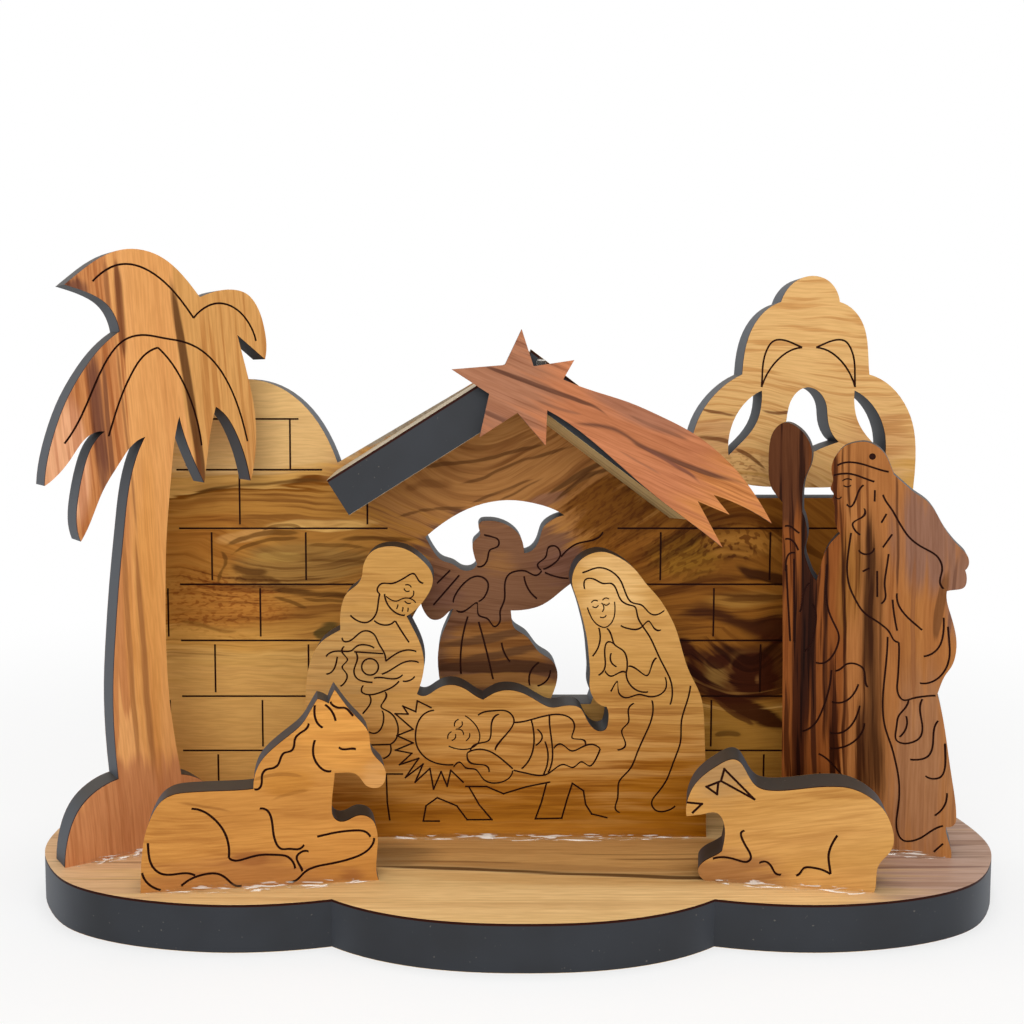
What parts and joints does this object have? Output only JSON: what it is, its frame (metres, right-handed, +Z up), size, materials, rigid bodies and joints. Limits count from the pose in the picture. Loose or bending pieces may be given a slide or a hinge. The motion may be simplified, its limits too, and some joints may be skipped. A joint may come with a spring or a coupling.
{
  "type": "nativity stable",
  "caption": "Flat laser-cut wooden boards glued upright on a scalloped base: stable wall with tower and sloping roof, comet, family group, animals, palm and wise men.",
  "frame": {"origin": "bottom centre of the bounding box, on the underside of the base", "axes": "+X along the width, to the viewer's right; +Y from the front of the scene to the wall; +Z up"},
  "size_m": [0.135, 0.05, 0.09],
  "materials": {
    "base_wood": "satin, charred cut edges",
    "wall_wood": "satin, charred cut edges",
    "roof_wood": "satin, charred cut edges",
    "comet_wood": "satin, charred cut edges",
    "family_wood": "satin, charred cut edges",
    "donkey_wood": "satin, charred cut edges",
    "sheep_wood": "satin, charred cut edges",
    "palm_wood": "satin, charred cut edges",
    "wise_men_wood": "satin, charred cut edges",
    "clear_glue": "clear gloss"
  },
  "bodies": {
    "root": {"base_plate": "base_wood", "back_wall": "wall_wood", "roof_board_left": "roof_wood", "roof_board_right": "roof_wood", "comet_star": "comet_wood", "family_group": "family_wood", "donkey": "donkey_wood", "sheep": "sheep_wood", "palm_tree": "palm_wood", "wise_men_group": "wise_men_wood", "glue_family": "clear_glue", "glue_donkey": "clear_glue", "glue_sheep": "clear_glue", "glue_palm": "clear_glue", "glue_wise_men": "clear_glue", "glue_ridge": "clear_glue"}
  },
  "joints": []
}
